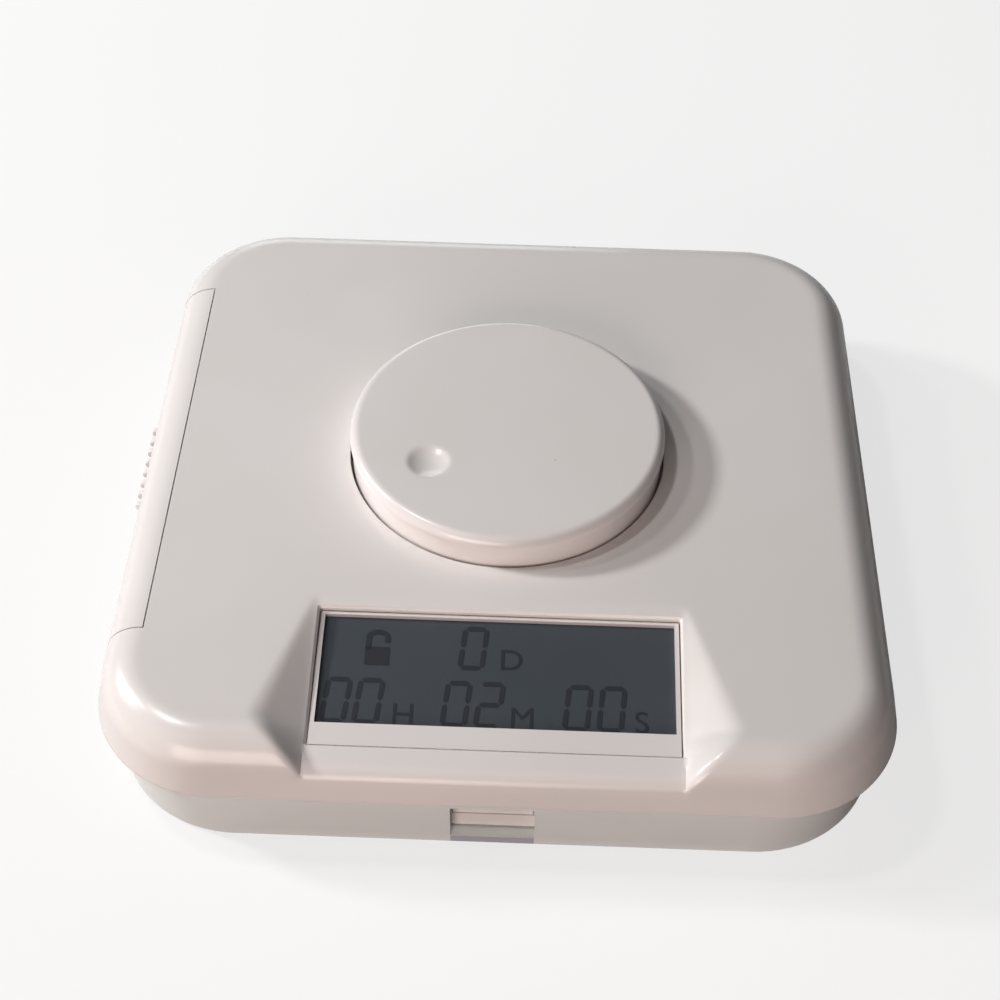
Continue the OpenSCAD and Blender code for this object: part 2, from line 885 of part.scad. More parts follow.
// The plunger's spigot runs in the end of the shaft
module push_plunger() {
    color(pom_white)
        translate([0, knob_y, shaft_low - 1.3]) {
            cylinder(h = 1.2, r = 2.4);
            cylinder(h = 3.2, r = 1);
        }
}

// What the shaft's flat takes away, and leaves in the hub
module shaft_flat(low) {
    translate([shaft_d / 2 - 1.5, -past, low])
        cube([past, 2 * past, knob_top]);
}

module encoder_shaft() {
    color(steel)
        translate([0, knob_y, 0])
            difference() {
                union() {
                    translate([0, 0, shaft_low])
                        cylinder(h = web_top - web_t - shaft_low, r = shaft_d / 2);
                    translate([0, 0, shaft_low + 0.4])
                        cylinder(h = 1, r = shaft_d / 2 + 1);
                }
                translate([0, 0, shaft_low - 1])
                    cylinder(h = 3.4, r = 1 + run_fit);
                shaft_flat(hub_low);
            }
}

module knob_skirt() {
    color(abs_white)
        translate([0, knob_y, 0])
            difference() {
                union() {
                    difference() {
                        translate([0, 0, skirt_low])
                            cylinder(h = cap_low - cap_gap - skirt_low, r = skirt_r);
                        translate([0, 0, skirt_low - 1])
                            cylinder(h = web_top - web_t - skirt_low + 1, r = skirt_r - skirt_wall);
                        translate([0, 0, web_top])
                            cylinder(h = past, r = skirt_r - skirt_wall);
                    }
                    translate([0, 0, hub_low])
                        cylinder(h = web_top - hub_low, r = hub_r);
                    for (a = [0:60:300])
                        rotate(a)
                            translate([hub_r - 0.5, -0.6, web_top - web_t - 1.6])
                                cube([skirt_r - skirt_wall - hub_r + 1, 1.2, 2]);
                }
                difference() {
                    translate([0, 0, hub_low - 1])
                        cylinder(h = web_top - web_t - hub_low + 1, r = shaft_d / 2);
                    shaft_flat(hub_low - 2);
                }
                for (a = [30, 150, 270])
                    rotate(a)
                        translate([20, 0, web_top - web_t - 1])
                            cylinder(h = past, r = 1.6);
            }
}

module knob_cap() {
    ball = (pow(dimple_d / 2, 2) + pow(dimple_deep, 2)) / (2 * dimple_deep);
    color(abs_white)
        translate([0, knob_y, 0])
            difference() {
                union() {
                    rotate_extrude()
                        cap_profile();
                    translate([0, 0, web_top])
                        cylinder(h = cap_low - web_top + eps, r = skirt_r - skirt_wall - 0.15);
                    for (a = [30, 150, 270])
                        rotate(a)
                            translate([20, 0, web_top - web_t])
                                cylinder(h = web_t + 0.5, r = 1.5);
                }
                translate([dimple_at.x, dimple_at.y, knob_top - dimple_deep + ball])
                    sphere(r = ball);
            }
}

module cap_profile() {
    c = [knob_r - cap_round, knob_top - cap_round];
    polygon([
        [0, cap_low],
        [knob_r, cap_low],
        [knob_r, c.y],
        c,
        [c.x, knob_top],
        [0, knob_top]
    ]);
    translate(c)
        intersection() {
            circle(cap_round);
            square(cap_round + 1);
        }
}

// Involute angle, in degrees, at radius r for the base radius rb
function involute(r, rb) = r <= rb ? 0 : (tan(acos(rb / r)) - acos(rb / r) * PI / 180) * 180 / PI;

// Half the angle of a tooth at radius r
function tooth_half(z, r) =
    let (rp = gear_m * z / 2, rb = rp * cos(gear_pa))
        90 / z - gear_backlash / 2 / rp * 180 / PI / 2 + involute(rp, rb) - involute(max(r, rb), rb);

function polar(r, a) = [r * cos(a), r * sin(a)];

// One tooth's outline, from its root on one side to its root on the other
function tooth(z, at) =
    let (
        rp = gear_m * z / 2,
        rr = rp - dedendum,
        rt = rp + addendum,
        rb = max(rp * cos(gear_pa), rr),
        steps = 5,
        radii = [for (i = [0:steps]) rb + (rt - rb) * i / steps]
    )
        concat(
            rb > rr ? [polar(rr, at - tooth_half(z, rr))] : [],
            [for (r = radii) polar(r, at - tooth_half(z, r))],
            [for (i = [steps:-1:0]) polar(radii[i], at + tooth_half(z, radii[i]))],
            rb > rr ? [polar(rr, at + tooth_half(z, rr))] : []
        );

module gear(z, at, h) {
    linear_extrude(h)
        polygon([for (i = [0:z - 1]) each tooth(z, at + 360 * i / z)]);
}

// The ring's slot: its radius grows evenly with the angle, so the bolts move evenly
function slot_radius(turn) = pin_r0 + bolt_travel * turn / ring_turn;

module cam_slot(at) {
    w = cam_pin_d / 2 + slot_play;
    over = 3;
    steps = 12;
    turns = [for (i = [0:steps]) -over + (ring_turn + 2 * over) * i / steps];
    translate([0, 0, ring_low - 1])
        linear_extrude(ring_t + 2) {
            polygon(concat(
                [for (t = turns) polar(slot_radius(t) + w, at - t)],
                [for (i = [steps:-1:0]) polar(slot_radius(turns[i]) - w, at - turns[i])]
            ));
            for (t = [-over, ring_turn + over])
                translate(polar(slot_radius(t), at - t))
                    circle(w - 0.02);
        }
}

module cam_ring() {
    before = ceil((ring_turn + 10) / (360 / ring_teeth));
    after = 2;
    teeth = [for (i = [-before:after]) each tooth(ring_teeth, train_deg + 360 * i / ring_teeth)];
    first = train_deg - 360 * (before + 0.5) / ring_teeth;
    last = train_deg + 360 * (after + 0.5) / ring_teeth;
    color(pom_white)
        translate([0, knob_y, 0])
            difference() {
                union() {
                    translate([0, 0, ring_low])
                        cylinder(h = ring_t, r = ring_disc_r);
                    translate([0, 0, ring_low])
                        linear_extrude(ring_t)
                            polygon(concat(
                                [polar(ring_disc_r - 2, first)],
                                teeth,
                                [for (i = [8:-1:1]) polar(ring_disc_r - 2, first + (last - first) * i / 8)]
                            ));
                    rotate(flag_deg)
                        translate([ring_disc_r - 1, -2, ring_low])
                            cube([4, 4, ring_t]);
                }
                translate([0, 0, ring_low - 1])
                    cylinder(h = ring_t + 2, r = collar_r + ring_fit);
                cam_slot(-90);
                cam_slot(90);
            }
}

module ring_clip() {
    color(steel)
        translate([0, knob_y, ring_low + ring_t + 0.1])
            difference() {
                cylinder(h = 0.6, r = shoulder_r);
                translate([0, 0, -1])
                    cylinder(h = 3, r = collar_bore + 0.4);
            }
}

// A bolt, drawn towards -Y from the knob's axis: cam pin, bar, leg and nose
module bolt(reach) {
    leg_y = -reach + nose_len - 2.6;
    color(pom_white)
        union() {
            translate([-bar_w / 2, leg_y, bar_low])
                cube([bar_w, -leg_y - pin_r0 + cam_pin_d / 2 + 0.4, bar_t]);
            translate([-bar_w / 2, leg_y, nose_z])
                cube([bar_w, 2.6, bar_top - nose_z]);
            translate([-bolt_half, -reach, nose_z])
                cube([2 * bolt_half, nose_len, nose_h]);
            translate([0, -pin_r0, bar_low])
                cylinder(h = ring_low + ring_t - 0.1 - bar_low, r = cam_pin_d / 2);
        }
}

module front_bolt() {
    translate([0, knob_y, 0])
        bolt(front_reach);
}

module back_bolt() {
    translate([0, knob_y, 0])
        rotate(180)
            bolt(back_reach);
}

module compound_gear() {
    color(pom_white)
        translate([train_at.x, train_at.y, 0])
            difference() {
                union() {
                    translate([0, 0, wheel_low])
                        gear(large_teeth, motor_deg, wheel_t);
                    translate([0, 0, wheel_low])
                        gear(small_teeth, train_deg + 180 + 180 / small_teeth, small_top - wheel_low);
                }
                translate([0, 0, wheel_low - 1])
                    cylinder(h = small_top - wheel_low + 2, r = axle_d / 2 + run_fit);
            }
}

module gear_axle() {
    color(steel)
        translate([train_at.x, train_at.y, 0]) {
            translate([0, 0, plate_z])
                cylinder(h = small_top - plate_z + 0.4, r = axle_d / 2);
            translate([0, 0, small_top + 0.2])
                cylinder(h = 0.6, r = axle_d / 2 + 0.9);
        }
}

module motor() {
    color(steel)
        translate([motor_at.x, motor_at.y, motor_low])
            difference() {
                union() {
                    cylinder(h = motor_h, r = motor_d / 2);
                    translate([0, 0, -0.5])
                        cylinder(h = 1, r = 3);
                }
                translate([0, 0, -1])
                    cylinder(h = past, r = motor_shaft_d / 2 + run_fit);
            }
}

module motor_shaft() {
    color(steel)
        translate([motor_at.x, motor_at.y, wheel_low])
            cylinder(h = motor_low + 3 - wheel_low, r = motor_shaft_d / 2);
}

module motor_pinion() {
    color(pom_white)
        translate([motor_at.x, motor_at.y, wheel_low])
            difference() {
                gear(pinion_teeth, motor_deg + 180 + 180 / pinion_teeth, wheel_t);
                translate([0, 0, -1])
                    cylinder(h = past, r = motor_shaft_d / 2);
            }
}

module position_sensor() {
    reach = ring_disc_r + 1.5;
    color("#26282B")
        translate([0, knob_y, 0])
            rotate(flag_deg - ring_turn / 2 - 12)
                difference() {
                    translate([reach, -3, plate_top])
                        cube([6, 6, ring_low + ring_t + 2 - plate_top]);
                    translate([reach - 1, -4, ring_low - 0.5])
                        cube([4, 8, ring_t + 1]);
                }
}

module cover_screws() {
    color(steel)
        at_posts()
            translate([0, 0, plate_z + 0.5]) {
                cylinder(h = screw_head_h, r = screw_head_r);
                cylinder(h = screw_len, r = screw_r - 0.1);
            }
}

module board_screws() {
    color(steel)
        at_board_corners() {
            translate([0, 0, board_z + board_t])
                cylinder(h = board_head_h, r = board_head_r);
            translate([0, 0, plate_z + 0.7])
                cylinder(h = board_z + board_t - plate_z, r = board_screw_r - 0.1);
        }
}

tray();
top_cover();
lid_base();
battery_door();
battery_cells();
contact_spring();
contact_plate();
lcd_bezel();
lcd_lens();
lcd_panel();
zebra_strips();
display_board();
main_board();
buzzer();
encoder_board();
encoder_body();
dome_switch();
push_plunger();
encoder_shaft();
knob_skirt();
knob_cap();
cam_ring();
ring_clip();
front_bolt();
back_bolt();
compound_gear();
gear_axle();
motor();
motor_shaft();
motor_pinion();
position_sensor();
cover_screws();
board_screws();
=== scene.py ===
# Timed lock container: the looks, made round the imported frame
import math

import bmesh
import bpy
from mathutils import Matrix, Vector


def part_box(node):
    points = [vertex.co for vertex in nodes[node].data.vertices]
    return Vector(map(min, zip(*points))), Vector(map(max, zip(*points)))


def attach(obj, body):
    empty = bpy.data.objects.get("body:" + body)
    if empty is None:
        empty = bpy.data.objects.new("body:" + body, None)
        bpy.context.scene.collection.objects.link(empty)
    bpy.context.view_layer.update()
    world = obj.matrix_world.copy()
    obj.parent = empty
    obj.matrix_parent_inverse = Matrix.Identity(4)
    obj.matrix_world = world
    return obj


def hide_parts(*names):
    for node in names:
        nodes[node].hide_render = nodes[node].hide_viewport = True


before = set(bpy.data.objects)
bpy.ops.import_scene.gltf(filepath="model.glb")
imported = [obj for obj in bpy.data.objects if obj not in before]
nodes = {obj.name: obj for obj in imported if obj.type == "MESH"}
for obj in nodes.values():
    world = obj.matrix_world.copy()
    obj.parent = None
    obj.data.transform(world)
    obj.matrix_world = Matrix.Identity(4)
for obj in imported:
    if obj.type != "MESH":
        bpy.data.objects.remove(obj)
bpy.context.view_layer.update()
bpy.ops.object.select_all(action="DESELECT")
mm = 0.001
print("frame loaded:", len(nodes), "nodes")


def toLinear(hexCode):  # sRGB hex to the linear colour that shaders take
    parts = [int(hexCode[i:i + 2], 16) / 255 for i in (1, 3, 5)]
    return [p / 12.92 if p <= 0.04045 else ((p + 0.055) / 1.055) ** 2.4 for p in parts] + [1]


def addNode(tree, kind, settings, links=None):
    # settings go to an input of that name, or else to the node itself
    node = tree.nodes.new(kind)
    for key, value in settings.items():
        if isinstance(key, int) or key in node.inputs:
            node.inputs[key].default_value = value
        else:
            setattr(node, key, value)
    for key, socket in (links or {}).items():
        tree.links.new(socket, node.inputs[key])
    return node


def startMaterial(name):
    material = bpy.data.materials.new(name)
    material.use_nodes = True
    material.node_tree.nodes.clear()
    return material, material.node_tree


def noiseOf(tree, sizeMm, detail=2):
    # a noise whose blobs are about sizeMm across, in the object's own place
    place = addNode(tree, "ShaderNodeTexCoord", {})
    return addNode(tree, "ShaderNodeTexNoise", {"Scale": 1 / (sizeMm * mm), "Detail": detail},
                   {"Vector": place.outputs["Object"]})


def ramp(tree, socket, low, high, first, last):
    # low..high of the socket becomes first..last
    return addNode(tree, "ShaderNodeMapRange",
                   {"From Min": low, "From Max": high, "To Min": first, "To Max": last},
                   {"Value": socket}).outputs["Result"]


noiseSpan = (0.3, 0.7)  # most of a noise lies between these


def roughOf(tree, sizeMm, low, high):
    # gloss that drifts between two values over about sizeMm
    return ramp(tree, noiseOf(tree, sizeMm).outputs["Fac"], *noiseSpan, low, high)


def blendOf(tree, socket, first, second):
    mix = addNode(tree, "ShaderNodeMix", {"data_type": "RGBA"}, {"Factor": socket})
    for index, value in ((6, first), (7, second)):
        if isinstance(value, str):
            mix.inputs[index].default_value = toLinear(value)
        else:
            tree.links.new(value, mix.inputs[index])
    return mix.outputs[2]


def finishMaterial(tree, shader):
    addNode(tree, "ShaderNodeOutputMaterial", {}, {"Surface": shader.outputs[0]})


cloudSpan = (0.35, 0.65)  # a narrower part of the noise, for clouds with clearer middles
# What all mouldings share. The dust's first value is how sharp a speck's edge is, its second how few cells have one.
moulding = {"glossMm": 6, "peelDeepMm": 0.02, "dustEdge": 0.6, "dustFew": (0.72, 0.74)}


def mouldedPlastic(name, look):
    # injection moulded: even colour with faint flow clouds, a fine orange peel and a few specks of dust
    material, tree = startMaterial(name)
    clouds = ramp(tree, noiseOf(tree, look["cloudMm"]).outputs["Fac"], *cloudSpan, 0, 1)
    colour = blendOf(tree, clouds, look["colour"], look["shade"])
    if look.get("dust"):
        place = addNode(tree, "ShaderNodeTexCoord", {})
        cells = addNode(tree, "ShaderNodeTexVoronoi", {"Scale": 1 / (look["dustApartMm"] * mm)},
                        {"Vector": place.outputs["Object"]})
        near = ramp(tree, cells.outputs["Distance"], look["dustShare"], look["dustShare"] * moulding["dustEdge"],
                    0, look["dust"])
        few = addNode(tree, "ShaderNodeSeparateColor", {}, {"Color": cells.outputs["Color"]})
        chosen = ramp(tree, few.outputs[0], *moulding["dustFew"], 0, 1)
        both = addNode(tree, "ShaderNodeMath", {"operation": "MULTIPLY"}, {0: near, 1: chosen})
        colour = blendOf(tree, both.outputs[0], colour, look["dustColour"])
    rough = roughOf(tree, moulding["glossMm"], *look["rough"])
    peel = addNode(tree, "ShaderNodeBump", {"Strength": look["peel"], "Distance": moulding["peelDeepMm"] * mm},
                   {"Height": noiseOf(tree, look["peelMm"], 3).outputs["Fac"]})
    shader = addNode(tree, "ShaderNodeBsdfPrincipled", {"IOR": look["ior"]},
                     {"Base Color": colour, "Roughness": rough, "Normal": peel.outputs["Normal"]})
    finishMaterial(tree, shader)
    return material


# Glossy white ABS, straight from a polished mould: warm, bright where it turns to the light, with a little dust
absWhite = mouldedPlastic("mouldedWhiteAbs", {
    "colour": "#E8E4E2", "shade": "#E4E0DD", "cloudMm": 45, "rough": (0.20, 0.27), "ior": 1.53,
    "peel": 0.12, "peelMm": 1.6, "dust": 0.75, "dustApartMm": 11, "dustShare": 0.022, "dustColour": "#8B8178",
})
# Acetal: a little cooler and waxier than ABS
acetal = mouldedPlastic("mouldedAcetal", {
    "colour": "#F1EFEB", "shade": "#EAE8E3", "cloudMm": 12, "rough": (0.34, 0.42), "ior": 1.48,
    "peel": 0.2, "peelMm": 0.8,
})
# Black phenolic or nylon of small electric parts
blackNylon = mouldedPlastic("mouldedBlackNylon", {
    "colour": "#1E1F22", "shade": "#26282B", "cloudMm": 6, "rough": (0.40, 0.52), "ior": 1.53,
    "peel": 0.3, "peelMm": 0.5,
})
# Conductive elastomer: dull and slightly mottled
elastomer = mouldedPlastic("conductiveElastomer", {
    "colour": "#C77FA0", "shade": "#B06C8D", "cloudMm": 2, "rough": (0.65, 0.75), "ior": 1.41,
    "peel": 0.3, "peelMm": 0.4,
})


# Frosted translucent polystyrene of the tray. A painted shade, a cooler blue-grey strip, darkens the foot of the front
# notch inside these limits, given as (full, gone) in mm from the middle and from the ground.
trayLook = {
    "colour": "#EEF3F1", "shade": "#E8EEEC", "cloudMm": 20, "glossMm": 4, "rough": (0.30, 0.38), "seeThrough": 0.10,
    "flowMm": 9, "flow": 0.04, "flowDeepMm": 0.02,
    "plate": "#B4B6C1", "plateSide": (7.7, 7.85), "plateTop": (2.6, 2.75), "plateFront": (-70, -69),
}


def milkyStyrene():
    # light goes in and comes out softened
    look = trayLook
    material, tree = startMaterial("milkyPolystyrene")
    colour = blendOf(tree, noiseOf(tree, look["cloudMm"]).outputs["Fac"], look["colour"], look["shade"])
    place = addNode(tree, "ShaderNodeTexCoord", {})
    apart = addNode(tree, "ShaderNodeSeparateXYZ", {}, {0: place.outputs["Object"]})
    side = addNode(tree, "ShaderNodeMath", {"operation": "ABSOLUTE"}, {0: apart.outputs["X"]})
    # painted shade: a blue-grey strip at the foot of the front notch stands in for the shadow seen there
    inNotch = ramp(tree, side.outputs[0], look["plateSide"][0] * mm, look["plateSide"][1] * mm, 1, 0)
    low = ramp(tree, apart.outputs["Z"], look["plateTop"][0] * mm, look["plateTop"][1] * mm, 1, 0)
    atFront = ramp(tree, apart.outputs["Y"], look["plateFront"][1] * mm, look["plateFront"][0] * mm, 0, 1)
    plate = addNode(tree, "ShaderNodeMath", {"operation": "MULTIPLY"}, {0: inNotch, 1: low})
    plate = addNode(tree, "ShaderNodeMath", {"operation": "MULTIPLY"}, {0: plate.outputs[0], 1: atFront})
    colour = blendOf(tree, plate.outputs[0], colour, look["plate"])
    rough = roughOf(tree, look["glossMm"], *look["rough"])
    flow = addNode(tree, "ShaderNodeBump", {"Strength": look["flow"], "Distance": look["flowDeepMm"] * mm},
                   {"Height": noiseOf(tree, look["flowMm"]).outputs["Fac"]})
    shader = addNode(tree, "ShaderNodeBsdfPrincipled", {"IOR": 1.49, "Transmission Weight": look["seeThrough"]},
                     {"Base Color": colour, "Roughness": rough, "Normal": flow.outputs["Normal"]})
    finishMaterial(tree, shader)
    return material


def drawnSteel():
    # plated spring and shaft steel, with the small marks that drawing leaves, about 0.4 mm across
    material, tree = startMaterial("platedSteel")
    drawn = noiseOf(tree, 0.4, 3).outputs["Fac"]
    colour = blendOf(tree, drawn, "#C4C6C9", "#A9ACB0")
    rough = ramp(tree, drawn, *noiseSpan, 0.24, 0.38)
    shader = addNode(tree, "ShaderNodeBsdfPrincipled", {"Metallic": 1},
                     {"Base Color": colour, "Roughness": rough})
    finishMaterial(tree, shader)
    return material


def solderMask():
    # green solder mask over copper: tracks about 2.4 mm apart show as lighter lines
    material, tree = startMaterial("greenSolderMask")
    place = addNode(tree, "ShaderNodeTexCoord", {})
    tracks = addNode(tree, "ShaderNodeTexVoronoi", {"Scale": 1 / (2.4 * mm), "distance": "CHEBYCHEV"},
                     {"Vector": place.outputs["Object"]})
    edge = ramp(tree, tracks.outputs["Distance"], 0.30, 0.36, 0, 1)
    colour = blendOf(tree, edge, "#1F5A38", "#2F7A4C")
    rough = roughOf(tree, 1.5, 0.28, 0.4)
    shader = addNode(tree, "ShaderNodeBsdfPrincipled", {"IOR": 1.55},
                     {"Base Color": colour, "Roughness": rough})
    finishMaterial(tree, shader)
    return material


def cellSleeve():
    # shrunk PET sleeve in one plain blue, with nothing printed on it
    material, tree = startMaterial("cellShrinkSleeve")
    colour = blendOf(tree, ramp(tree, noiseOf(tree, 3).outputs["Fac"], *noiseSpan, 0, 1), "#3D6FA3", "#376697")
    rough = roughOf(tree, 5, 0.22, 0.32)
    shader = addNode(tree, "ShaderNodeBsdfPrincipled", {"IOR": 1.57},
                     {"Base Color": colour, "Roughness": rough})
    finishMaterial(tree, shader)
    return material


def displayGlass():
    # the reflective rear of a liquid crystal cell: dark slate, with faint blue and green drifts
    material, tree = startMaterial("liquidCrystalGlass")
    drift = ramp(tree, noiseOf(tree, 22).outputs["Fac"], *cloudSpan, 0, 1)
    colour = blendOf(tree, drift, "#4A5056", "#454E55")
    rough = roughOf(tree, 0.8, 0.42, 0.5)
    shader = addNode(tree, "ShaderNodeBsdfPrincipled", {"IOR": 1.5, "Specular IOR Level": 0.25},
                     {"Base Color": colour, "Roughness": rough})
    finishMaterial(tree, shader)
    return material


def segmentInk():
    # a switched-on segment: a little darker than the glass round it
    material, tree = startMaterial("darkSegment")
    colour = blendOf(tree, noiseOf(tree, 3).outputs["Fac"], "#2A2D32", "#303338")
    shader = addNode(tree, "ShaderNodeBsdfPrincipled",
                     {"IOR": 1.5, "Roughness": 0.5, "Specular IOR Level": 0.2}, {"Base Color": colour})
    finishMaterial(tree, shader)
    return material


def clearAcrylic():
    # a thin clear window: it lets the display show and keeps only its surface gloss
    material, tree = startMaterial("clearAcrylic")
    smear = ramp(tree, noiseOf(tree, 9).outputs["Fac"], 0.4, 0.7, 0.06, 0.14)
    shader = addNode(tree, "ShaderNodeBsdfPrincipled",
                     {"IOR": 1.49, "Alpha": 0.1, "Base Color": toLinear("#5A6066")}, {"Roughness": smear})
    finishMaterial(tree, shader)
    material.blend_method = "BLEND"
    return material


milky = milkyStyrene()
steel = drawnSteel()
boardGreen = solderMask()
sleeve = cellSleeve()
slate = displayGlass()
ink = segmentInk()
acrylic = clearAcrylic()

nodeFinish = {
    absWhite: ["top_cover", "lid_base", "battery_door", "lcd_bezel", "knob_skirt", "knob_cap"],
    milky: ["tray"],
    acetal: ["push_plunger", "cam_ring", "front_bolt", "back_bolt", "compound_gear", "motor_pinion"],
    steel: ["contact_spring", "contact_plate", "dome_switch", "encoder_shaft", "ring_clip", "gear_axle", "motor",
            "motor_shaft", "cover_screws", "board_screws"],
    boardGreen: ["display_board", "main_board", "encoder_board"],
    blackNylon: ["buzzer", "encoder_body", "position_sensor"],
    elastomer: ["zebra_strips"],
    sleeve: ["battery_cells"],
    slate: ["lcd_panel"],
    acrylic: ["lcd_lens"],
}
for material, names in nodeFinish.items():
    for name in names:
        for slot in nodes[name].material_slots:
            slot.material = material
print("materials set")

weld = 0.004 * mm  # points nearer than this become one


def own(piece, name, material):
    piece.name = name
    piece.data.name = name
    piece.data.materials.clear()
    piece.data.materials.append(material)
    return piece


def editing(on):
    bpy.ops.object.mode_set(mode="EDIT" if on else "OBJECT")


def selectOnly(piece):
    bpy.ops.object.select_all(action="DESELECT")
    piece.select_set(True)
    bpy.context.view_layer.objects.active = piece


def chooseEdges(test):
    # in edit mode: selects the edges whose two ends both pass
    mesh = bmesh.from_edit_mesh(bpy.context.object.data)
    bpy.ops.mesh.select_all(action="DESELECT")
    for edge in mesh.edges:
        if test(edge.verts[0].co / mm) and test(edge.verts[1].co / mm):
            edge.select = True
    mesh.select_flush(True)
    bmesh.update_edit_mesh(bpy.context.object.data)


def cleanMesh(piece):
    # doubles merged and faces turned outwards
    selectOnly(piece)
    editing(True)
    bpy.ops.mesh.select_all(action="SELECT")
    bpy.ops.mesh.remove_doubles(threshold=weld)
    bpy.ops.mesh.normals_make_consistent(inside=False)
    editing(False)


def carve(piece, tool, how="DIFFERENCE"):
    selectOnly(piece)
    modifier = piece.modifiers.new("carve", "BOOLEAN")
    modifier.operation = how
    modifier.solver = "EXACT"
    modifier.object = tool
    bpy.ops.object.modifier_apply(modifier=modifier.name)
    bpy.data.objects.remove(tool)


def smoothByAngle(piece, degrees):
    selectOnly(piece)
    bpy.ops.object.shade_smooth_by_angle(angle=math.radians(degrees))


def spun(profile, steps, centre=(0, 0)):
    # a profile of (radius, height) in mm, drawn as a chain and spun round an upright axis
    bpy.ops.mesh.primitive_plane_add(size=mm, location=(0, 0, 0))
    piece = bpy.context.object
    editing(True)
    bpy.ops.mesh.select_mode(type="VERT")
    bpy.ops.mesh.merge(type="CENTER")
    bpy.ops.transform.translate(value=(profile[0][0] * mm, 0, profile[0][1] * mm))
    for before, after in zip(profile, profile[1:]):
        step = ((after[0] - before[0]) * mm, 0, (after[1] - before[1]) * mm)
        bpy.ops.mesh.extrude_vertices_move(TRANSFORM_OT_translate={"value": step})
    bpy.ops.mesh.select_all(action="SELECT")
    bpy.ops.mesh.spin(steps=steps, angle=2 * math.pi, center=(0, 0, 0), axis=(0, 0, 1))
    editing(False)
    piece.data.transform(Matrix.Translation((centre[0] * mm, centre[1] * mm, 0)))
    cleanMesh(piece)
    return piece


def block(low, high):
    bpy.ops.mesh.primitive_cube_add(size=1)
    piece = bpy.context.object
    low, high = Vector(low) * mm, Vector(high) * mm
    piece.data.transform(Matrix.Translation((low + high) / 2) @ Matrix.Diagonal((*(high - low), 1)))
    return piece


# The lid's shell. Its outer and inner skins are one grid each, bent down into the display recess.
# Lengths are in mm, angles in degrees; x is from the middle, and forward is towards the display.
lid = {
    "cornerR": 24, "fillet": 7.7, "draft": 13, "wall": 2.2, "lowEdge": 0.3, "lowBevel": 0.2, "smoothTo": 32,
    # the recess: where its floor starts, how steep it falls, and the lip that it ends in
    "slopeTop": 36.6, "slopeFall": 9, "slopeMargin": 5, "lipR": 4, "recessHalf": 34.3, "recessWall": 1.1,
    # its cheeks: the outer edge as (x, forward), and how softly each runs into floor, deck and front
    "cheekEdge": ((34.9, 36.4), (43.1, 64.5), (41.3, 67.6), (39.05, 70.0), (36.9, 72.0), (35.1, 73.45)),
    "cheekSteepest": 2.2, "cheekLeast": 0.2, "valley": 0.16,
    "rollTop": 0.12, "rollMouth": 0.9, "rollPast": 1.3, "rollGrowth": 2, "rollFade": (2, 5), "rollLeast": 0.001,
    # the skins' grids: steps in mm, and where the finer ones end
    "gridCoarse": 2, "gridFine": 0.5, "gridMiddle": 2.6, "gridSlope": 0.7, "gridCheekEnd": 46.5, "gridSlopeEnd": 36,
    "flatSteps": 20, "arcSteps": 16, "sideSteps": 12, "cornerSteps": 26,
    # the window, and the bright edge round it
    "windowTop": 39.3, "windowW": 67.8, "windowL": 28.5, "windowDeep": 3, "windowCornerR": 0.5,
    "windowCornerSteps": 4, "windowRim": 0.42, "windowRise": 6,
    # the knob's well, its edge's rounding, and the hole for the shaft
    "wellR": 31.85, "wellWall": 1.5, "wellFloor": 24.0, "wellFloorT": 1.2, "wellSteps": 192, "cupSteps": 160,
    "rim": 0.22, "rimBow": (0.35, 0.3), "wellHoleR": 9.4, "wellHoleCut": (10, 30), "wellHoleSteps": 64,
    "postAt": (53.54, 54), "postR": 3.4, "postLow": 17.5, "postSteps": 32,
    # the battery door's opening on the left, and the slots for its two tongues
    "doorL": 96.4, "doorY": 2, "doorOut": -90, "doorUnder": 3,
    "tongueY": 24, "tongueW": 8.2, "tongueZ": (26.25, 27.35), "tongueL": 3.1, "tongueOut": 2,
    "sunk": 1, "over": 5,  # how far inner pieces end under the deck's face, and cutters above it
}
coverLow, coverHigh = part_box("top_cover")
deck = coverHigh.z / mm
lidLow = coverLow.z / mm
lidHalf = coverHigh.y / mm + lid["lowEdge"] * math.tan(math.radians(lid["draft"]))
knobY = (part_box("knob_cap")[0].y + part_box("knob_cap")[1].y) / 2 / mm
lean = math.radians(lid["draft"])
fall = math.radians(lid["slopeFall"])
cornerAxis = lidHalf - lid["cornerR"]
filletRun = (lid["fillet"] * (1 - math.sin(lean)) + (deck - lidLow) * math.sin(lean)) / math.cos(lean)
flatHalf = lidHalf - filletRun


def smoothMin(a, b, width):
    near = max(width - abs(a - b), 0) / width
    return min(a, b) - near * near * width / 4


def slopeLine(forward):
    return deck - (forward - lid["slopeTop"]) * math.tan(fall)


def lipHeight(forward):
    # the slope, rounded over where it runs into the leaning front wall
    r = lid["lipR"]
    top = deck + lid["slopeTop"] * math.tan(fall) - r / math.cos(fall) - lidLow
    centre = (lidHalf * math.cos(lean) - top * math.sin(lean) - r) / (math.cos(lean) - math.tan(fall) * math.sin(lean))
    if forward < centre + r * math.sin(fall):
        return slopeLine(forward)
    if forward < centre + r * math.cos(lean):
        return slopeLine(centre) - r / math.cos(fall) + math.sqrt(r * r - (forward - centre) ** 2)
    return lidLow + (lidHalf - forward) / math.tan(lean)


def frontHeight(forward):
    # the lid's front without the recess: deck, fillet, leaning wall
    if forward < flatHalf:
        return deck
    if forward < flatHalf + lid["fillet"] * math.cos(lean):
        return deck - lid["fillet"] + math.sqrt(lid["fillet"] ** 2 - (forward - flatHalf) ** 2)
    return lidLow + (lidHalf - forward) / math.tan(lean)


def cheekOuter(forward):
    # how far from the middle a cheek's outer edge is, down the deck and over the front
    edge = lid["cheekEdge"]
    for (x0, f0), (x1, f1) in zip(edge, edge[1:]):
        if forward < f1:
            return x0 + (x1 - x0) * (forward - f0) / (f1 - f0)
    return edge[-1][0]


